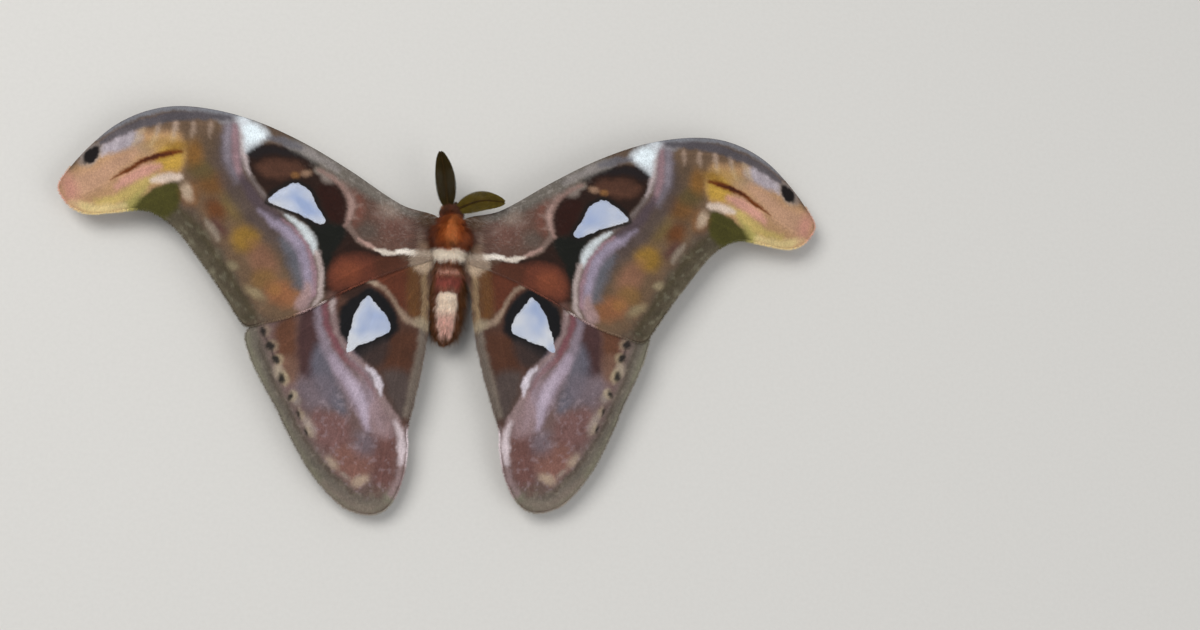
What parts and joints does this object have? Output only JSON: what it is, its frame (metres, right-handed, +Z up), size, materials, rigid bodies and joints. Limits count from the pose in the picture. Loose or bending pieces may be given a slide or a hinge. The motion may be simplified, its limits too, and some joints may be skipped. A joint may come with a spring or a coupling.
{
  "type": "male atlas moth, life-size still model",
  "caption": "Large moth standing at rest on its feet, wings spread flat, with raised wing veins, feathered antennae and a furry body; a still display or scene model.",
  "frame": {"origin": "on the floor, at the middle of the moth's whole box", "axes": "+X to the moth's right, along the wingspan; +Y towards its head; +Z up, away from the surface it stands on"},
  "size_m": [0.2122, 0.113, 0.0145],
  "materials": {
    "wing": "matt powdery scales on a thin membrane, brick red to brown with pale, lilac and ochre bands",
    "body_fur": "short dense orange-brown fur",
    "abdomen_fur": "short dense maroon and cream fur",
    "antenna": "satin olive-brown horn-like shaft and rays",
    "eye": "glossy near-black facets",
    "leg": "short brown fur over horn-like skin"
  },
  "bodies": {
    "root": {"head": "body_fur", "thorax": "body_fur", "abdomen": "abdomen_fur", "eye_left": "eye", "eye_right": "eye", "palp_left": "body_fur", "palp_right": "body_fur", "antenna_left": "antenna", "antenna_right": "antenna", "forewing_left": "wing", "forewing_right": "wing", "hindwing_left": "wing", "hindwing_right": "wing", "leg_fore_left": "leg", "leg_fore_right": "leg", "leg_mid_left": "leg", "leg_mid_right": "leg", "leg_hind_left": "leg", "leg_hind_right": "leg"}
  },
  "joints": []
}
